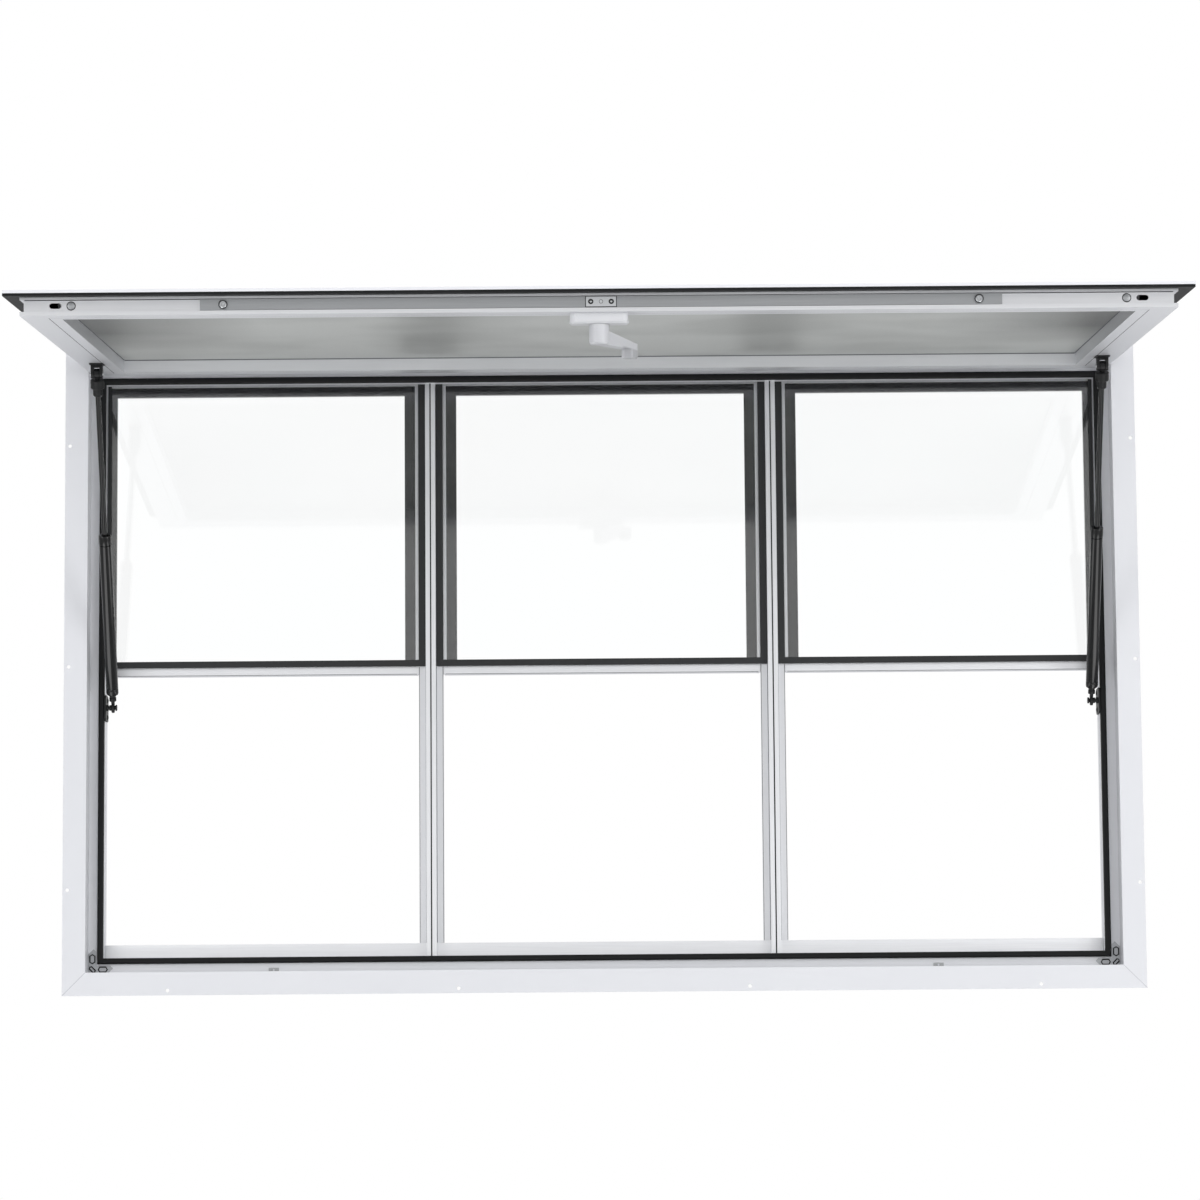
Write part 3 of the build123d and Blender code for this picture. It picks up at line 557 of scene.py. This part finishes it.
def turned(bm, profile, place, material=0):
    """Lathe-turned shape about a matrix's Z axis, from (radius, height) points."""
    verts = [bm.verts.new(place @ Vector((r, 0, z))) for r, z in profile]
    edges = [bm.edges.new(pair) for pair in zip(verts, verts[1:])]
    before = set(bm.faces)
    bmesh.ops.spin(bm, geom=verts + edges, cent=place.translation, axis=place.to_3x3() @ Vector((0, 0, 1)),
                   angle=2 * pi, steps=SPIN_STEPS, use_merge=True)
    bmesh.ops.remove_doubles(bm, verts=bm.verts, dist=WELD)
    for face in bm.faces:
        if face not in before:
            face.material_index = material


def on_edge(x, z):
    """Place on the awning's edge, drawn closed, with Z outwards from the edge."""
    return to_open @ Matrix.Translation((x, WEB_Y, z)) @ Matrix.Rotation(pi, 4, "X")


# The dark rings round the screw heads, roller caps and plate hole, the dark layer under the plate and the
# lines along its edges are painted recess shade.
PAN_HEAD = [(0, 0.0011), (0.0040, 0.0010), (0.0048, 0.0006), (0.0050, 0), (0, 0)]
PAN_RING = [(0.0050, 0), (0.0060, 0), (0.0060, 0.0002), (0.0050, 0.0002), (0.0050, 0)]
web_screws = bmesh.new()
for side in (-1, 1):
    turned(web_screws, PAN_HEAD, on_edge(side * WEB_SCREW_X, WEB_FACE))
    turned(web_screws, PAN_RING, on_edge(side * WEB_SCREW_X, WEB_FACE), 1)
finish_piece("web_pan_screws", web_screws, [dull_zinc, recess_shade], "awning")

ROLLER_CAP = [(0, 0.0002), (0.0021, 0.0002), (0.0026, 0.0008), (0.0040, 0.0008),
              (0.0047, 0.0002), (0.0047, 0), (0, 0)]
ROLLER_RING = [(0.0048, 0), (0.0059, 0), (0.0059, 0.00015), (0.0048, 0.00015), (0.0048, 0)]
studs = bmesh.new()
for side in (-1, 1):
    turned(studs, ROLLER_CAP, on_edge(side * ROLLER_X + LOCK_SHIFT, ROLLER_Z))
    turned(studs, ROLLER_RING, on_edge(side * ROLLER_X + LOCK_SHIFT, ROLLER_Z), 1)
finish_piece("lock_roller_caps", studs, [screw_steel, recess_shade], "lock")

PLATE_SCREW = [(0, 0.0004), (0.0011, 0.0004), (0.0014, 0.0002), (0.0014, 0), (0, 0)]
PLATE_SINK = [(0.0014, 0), (0.0035, 0), (0.0035, 0.00015), (0.0014, 0.00015), (0.0014, 0)]
PLATE_HOLE = [(0.0021, 0), (0.0026, 0), (0.0026, 0.0001), (0.0021, 0.0001), (0.0021, 0)]
plate_screws = bmesh.new()
for side in (-1, 1):
    turned(plate_screws, PLATE_SCREW, on_edge(side * PLATE_SCREW_X + LOCK_SHIFT, PLATE_Z))
    turned(plate_screws, PLATE_SINK, on_edge(side * PLATE_SCREW_X + LOCK_SHIFT, PLATE_Z), 1)
turned(plate_screws, PLATE_HOLE, on_edge(LOCK_SHIFT, PLATE_Z), 1)
slab(plate_screws, (LOCK_SHIFT - UNDER_PLATE_HALF, ROD_LOW_Y, ROD_Z - UNDER_PLATE_OUT),
     (LOCK_SHIFT + UNDER_PLATE_HALF, ROD_HIGH_Y, ROD_Z + UNDER_PLATE_IN), to_open, 1)
for edge_y in (ROD_LOW_Y, ROD_HIGH_Y - PLATE_LINE):
    slab(plate_screws, (LOCK_SHIFT - UNDER_PLATE_HALF + PLATE_LINE_SHORT, edge_y, PLATE_Z - PLATE_LINE_PROUD),
         (LOCK_SHIFT + UNDER_PLATE_HALF - PLATE_LINE_SHORT, edge_y + PLATE_LINE, PLATE_Z + PLATE_LINE_PROUD),
         to_open, 1)
finish_piece("lock_plate_screws", plate_screws, [screw_steel, recess_shade], "lock")


# Handle: a die-cast base screwed to the awning's free rail, with a lever on its hub.
# It is painted light grey over a slightly grainy casting, and its tone turns a darker grey towards the
# grip's low, outer end.
CAST_LIGHT = "#D6D7D9"
CAST_SHADE = "#CBCCCF"
GRIP_END_GREY = "#9A9B9E"
GRIP_END_Z_FROM = 0.0128
GRIP_END_Z_TO = 0.0105
GRIP_FROM = 0.030
GRIP_TO = 0.034
GRIP_END_SHARE = 0.75
cast_paint = coated("painted casting", CAST_LIGHT, CAST_SHADE,
                    grain_mm=1.2, depth_mm=0.05, roughness=0.4)
dress(cast_paint, "handle_base")
lever_paint = coated("lever casting, darker at the grip", light="#CBCCCF", shade="#C1C2C5",
                     grain_mm=1.2, depth_mm=0.05, roughness=0.4)
tree = lever_paint.node_tree
axes = axes_of(tree)
grip_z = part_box("handle_lever")[0].z
low_down = add(tree, "ShaderNodeMapRange",
               {"Value": axes["Z"], "From Min": grip_z + GRIP_END_Z_FROM, "From Max": grip_z + GRIP_END_Z_TO,
                "To Max": GRIP_END_SHARE})
far_out = add(tree, "ShaderNodeMapRange", {"Value": axes["X"], "From Min": GRIP_FROM, "From Max": GRIP_TO})
grip_end_dark = add(tree, "ShaderNodeMath", {0: low_down.outputs["Result"], 1: far_out.outputs["Result"]},
           operation="MULTIPLY")
tint(lever_paint, grip_end_dark.outputs["Value"], GRIP_END_GREY)
dress(lever_paint, "handle_lever")


# Gas struts: a black painted tube with a crimped collar, and a black nitrided rod that slides in it.
# Each hangs from a clevis on the awning and ends in a ball socket on a plate screwed to the jamb.
TUBE_BLACK = "#0B0C0D"
TUBE_SHADE = "#080909"
STRUT_LEN = 0.522536
SOCKET_FROM = 0.030
TUBE_PROFILE = [(0, 0.021), (0.0062, 0.021), (0.0084, 0.0222), (0.009, 0.0245), (0.009, 0.030),
                (0.0085, 0.031), (0.009, 0.032), (0.009, 0.2580), (0.0078, 0.2585), (0.0078, 0.2600),
                (0.0094, 0.2605), (0.0094, 0.2728), (0.0088, 0.2738), (0.0044, 0.274), (0.0044, 0.262),
                (0, 0.262)]
FOOT_PROFILE = [(0, 0.006), (0.0027, 0.006), (0.0027, 0.0108), (0.0052, 0.0115), (0.0052, 0.0165),
                (0.0042, 0.0172), (0.0042, 0.019), (0.0056, 0.0196), (0.0056, 0.0215), (0, 0.0215)]
HOUSING = [(0, -0.0058), (0.0040, -0.0058), (0.0046, -0.0052), (0.0046, -0.0040), (0.0040, -0.0034),
           (0.0030, -0.0032), (0.0030, -0.0022), (0.0068, -0.0020), (0.0076, -0.0012), (0.0076, 0.0014),
           (0.0068, 0.0022), (0.0042, 0.0026), (0.0042, 0.0056), (0, 0.0060)]
STUD = [(0, 0.005), (0.0026, 0.005), (0.0026, 0.0065), (0.0046, 0.0068), (0.0046, 0.0098), (0, 0.0098)]
ROD_PROFILE = [(0, 0.244), (0.0039, 0.244), (0.0039, STRUT_LEN - 0.0345), (0.0058, STRUT_LEN - 0.0342),
               (0.007, STRUT_LEN - 0.0325), (0.007, STRUT_LEN - 0.0228), (0.0092, STRUT_LEN - 0.0222),
               (0.010, STRUT_LEN - 0.0212), (0.010, STRUT_LEN - 0.0102), (0.0092, STRUT_LEN - 0.0092),
               (0.0036, STRUT_LEN - 0.009), (0.0036, STRUT_LEN - 0.005), (0, STRUT_LEN - 0.005)]
EYE = [(0.0033, -0.004), (0.0062, -0.004), (0.007, -0.0032), (0.007, 0.0032), (0.0062, 0.004),
       (0.0033, 0.004), (0.0033, -0.004)]
strut_black = coated("black strut paint", TUBE_BLACK, TUBE_SHADE,
                     grain_mm=1.0, depth_mm=0.02, roughness=0.2, Specular_IOR_Level=0.35)
rod_black = coated("black nitrided rod", light="#0B0C0D", shade="#080909",
                   grain_mm=0.7, depth_mm=0.01, roughness=0.16, Specular_IOR_Level=0.3)
fitting_black = coated("black fitting paint", light="#141516", shade="#0E0F10",
                       grain_mm=1.0, depth_mm=0.02, roughness=0.5, Specular_IOR_Level=0.25)
dress(fitting_black, "strut_mount_left", "strut_mount_right", "strut_bracket_left", "strut_bracket_right")
for side, name in ((-1, "left"), (1, "right")):
    swing = joint(f"strut_{name}_swing")
    slide = joint(f"strut_{name}_slide")
    top = Vector(swing["pos_m"])
    rise = Vector(slide["axis"]).normalized()
    low = top - rise * STRUT_LEN
    lean = rise.to_track_quat("Z", "X").to_matrix().to_4x4()
    along = Matrix.Translation(low) @ lean
    sideways = Matrix.Rotation(side * pi / 2, 4, "Y")
    tube = bmesh.new()
    turned(tube, TUBE_PROFILE, along)
    turned(tube, FOOT_PROFILE, along, 1)
    turned(tube, HOUSING, Matrix.Translation(low) @ sideways, 1)
    turned(tube, STUD, Matrix.Translation(low) @ sideways, 1)
    piece = finish_piece("gas_strut_tube_" + name, tube, [strut_black, fitting_black], f"strut_{name}_tube")
    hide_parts("strut_tube_" + name)
    rod = bmesh.new()
    turned(rod, ROD_PROFILE, along)
    for face in rod.faces:
        if max(v.co.z for v in face.verts) > low.z + rise.z * (STRUT_LEN - SOCKET_FROM):
            face.material_index = 1
    turned(rod, EYE, Matrix.Translation(top) @ sideways, 1)
    piece = finish_piece("gas_strut_rod_" + name, rod, [rod_black, fitting_black], f"strut_{name}_rod")
    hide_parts("strut_rod_" + name)


# Strut fastenings: bright steel pins through the clevises, and black pan screws in the jamb plates.
# The pins have flat heads on the ears' outer faces, and a black block fills each clevis above its eye.
EAR_OUT = 0.0083
FILL_HALF = 0.0044
FILL_LOW = 0.0015
FILL_TOP = 0.0053
FILL_L = 0.006
STRUT_TOP = 0.720
PIN_HEAD = [(0, 0.0014), (0.0030, 0.0014), (0.0036, 0.0008), (0.0036, 0), (0, 0)]
PLATE_PAN = [(0, 0.0018), (0.0018, 0.0016), (0.0033, 0.0010), (0.0040, 0.0003), (0.0040, 0), (0, 0)]
PLATE_SCREW_UP = 0.0125
PLATE_SCREW_BACK = 0.005
pins = bmesh.new()
plate_pans = bmesh.new()
fills = bmesh.new()
for side, name in ((-1, "left"), (1, "right")):
    swing = joint(f"strut_{name}_swing")
    for face in (-1, 1):
        ear = Vector(swing["pos_m"]) + Vector((face * EAR_OUT, 0, 0))
        turned(pins, PIN_HEAD, Matrix.Translation(ear) @ Matrix.Rotation(face * pi / 2, 4, "Y"))
    x = swing["pos_m"][0]
    slab(fills, (x - FILL_HALF, LIP_Y + FILL_LOW, STRUT_TOP - FILL_L),
         (x + FILL_HALF, LIP_Y + FILL_TOP, STRUT_TOP + FILL_L), to_open)
    plate_low, plate_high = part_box("strut_bracket_" + name)
    inner_x = plate_low.x if side > 0 else plate_high.x
    middle = (plate_low + plate_high) / 2
    for up in (-1, 1):
        spot = Vector((inner_x, middle.y + PLATE_SCREW_BACK, middle.z + up * PLATE_SCREW_UP))
        turned(plate_pans, PLATE_PAN, Matrix.Translation(spot) @ Matrix.Rotation(-side * pi / 2, 4, "Y"))
finish_piece("strut_clevis_pins", pins, [screw_steel], "awning")
finish_piece("strut_clevis_fills", fills, [fitting_black], "awning")
finish_piece("strut_plate_screws", plate_pans, [fitting_black], "frame")


# Studio: a pale floor below the window and a white surround, with soft boxes in front and one behind.
# Two strips by the floor show only in reflections. The camera stands low in front and looks slightly up.
FLOOR_Z = -0.62
FLOOR_HALF = 14.0
floor_mesh = bmesh.new()
bmesh.ops.create_grid(floor_mesh, x_segments=1, y_segments=1, size=FLOOR_HALF,
                      matrix=Matrix.Translation((0, 0, FLOOR_Z)))
floor_data = bpy.data.meshes.new("floor")
floor_mesh.to_mesh(floor_data)
floor_mesh.free()
floor_data.materials.append(coated("pale floor", light="#EDEDED", shade="#EAEAEA",
                                   grain_mm=6.0, depth_mm=0.05, roughness=0.8))
floor = bpy.data.objects.new("floor", floor_data)
bpy.context.scene.collection.objects.link(floor)

AMBIENT = 0.62
STRIP_XS = (-1.3, 1.3)
STRIP_Y = -0.6
STRIP_UP = 0.02
world = bpy.data.worlds.new("studio")
world.use_nodes = True
bpy.context.scene.world = world
sky = world.node_tree
sky.nodes.clear()
path = add(sky, "ShaderNodeLightPath")
seen = add(sky, "ShaderNodeMath", {0: path.outputs["Is Camera Ray"], 1: path.outputs["Is Glossy Ray"]},
           operation="MAXIMUM")
seen = add(sky, "ShaderNodeMath", {0: seen.outputs["Value"], 1: path.outputs["Is Transmission Ray"]},
           operation="MAXIMUM")
soft = add(sky, "ShaderNodeBackground", {"Color": linear("#FBFCFF"), "Strength": AMBIENT})
white = add(sky, "ShaderNodeBackground", {"Color": linear("#FFFFFF"), "Strength": 1.0})
both = add(sky, "ShaderNodeMixShader",
           {"Fac": seen.outputs["Value"], 1: soft.outputs["Background"], 2: white.outputs["Background"]})
add(sky, "ShaderNodeOutputWorld", {"Surface": both.outputs["Shader"]})


def soft_box(name, place, aim, width, length, power):
    """Area lamp that looks at a point."""
    lamp = bpy.data.lights.new(name, "AREA")
    lamp.shape = "RECTANGLE"
    lamp.size = width
    lamp.size_y = length
    lamp.energy = power
    made = bpy.data.objects.new(name, lamp)
    made.location = place
    made.rotation_mode = "QUATERNION"
    made.rotation_quaternion = (Vector(aim) - Vector(place)).to_track_quat("-Z", "Y")
    made.visible_transmission = False
    bpy.context.scene.collection.objects.link(made)
    return made


middle = (cad_box[0] + cad_box[1]) / 2
soft_box("key", (4.7, -4.8, 0.2), middle, width=2.4, length=2.4, power=116)
soft_box("fill", (-4.7, -4.8, 0.0), middle, width=2.4, length=2.4, power=76)
wash = soft_box("wash", (0.3, -6.6, 0.6), middle, width=3.0, length=3.0, power=76)
wash.visible_glossy = False
back = soft_box("back", (0, 5.2, 1.6), middle, width=3.0, length=3.0, power=40)
back.visible_glossy = False
back.visible_camera = False
for x in STRIP_XS:
    strip = soft_box("strip", (x, STRIP_Y, FLOOR_Z + STRIP_UP), (x, STRIP_Y, 1),
                     width=1.1, length=2.0, power=22)
    strip.visible_diffuse = False
    strip.visible_camera = False

LENS = 140.86
EYE_AT = Vector((0.0024, -6.8953, -0.3176))
YAW = radians(-0.0373)
PITCH = radians(7.2686)
ROLL = radians(-0.443)
forward = Vector((sin(YAW) * cos(PITCH), cos(YAW) * cos(PITCH), sin(PITCH)))
right = Vector((cos(YAW), -sin(YAW), 0))
up = right.cross(forward)
camera_right = right * cos(ROLL) + up * sin(ROLL)
camera_up = up * cos(ROLL) - right * sin(ROLL)
camera = bpy.data.cameras.new("camera")
camera.sensor_width = 36.0
camera.lens = LENS
camera.clip_end = 100.0
eye = bpy.data.objects.new("camera", camera)
columns = Matrix((camera_right, camera_up, -forward)).transposed()
eye.matrix_world = Matrix.Translation(EYE_AT) @ columns.to_4x4()
bpy.context.scene.collection.objects.link(eye)
bpy.context.scene.camera = eye
bpy.context.scene.view_settings.view_transform = "Standard"
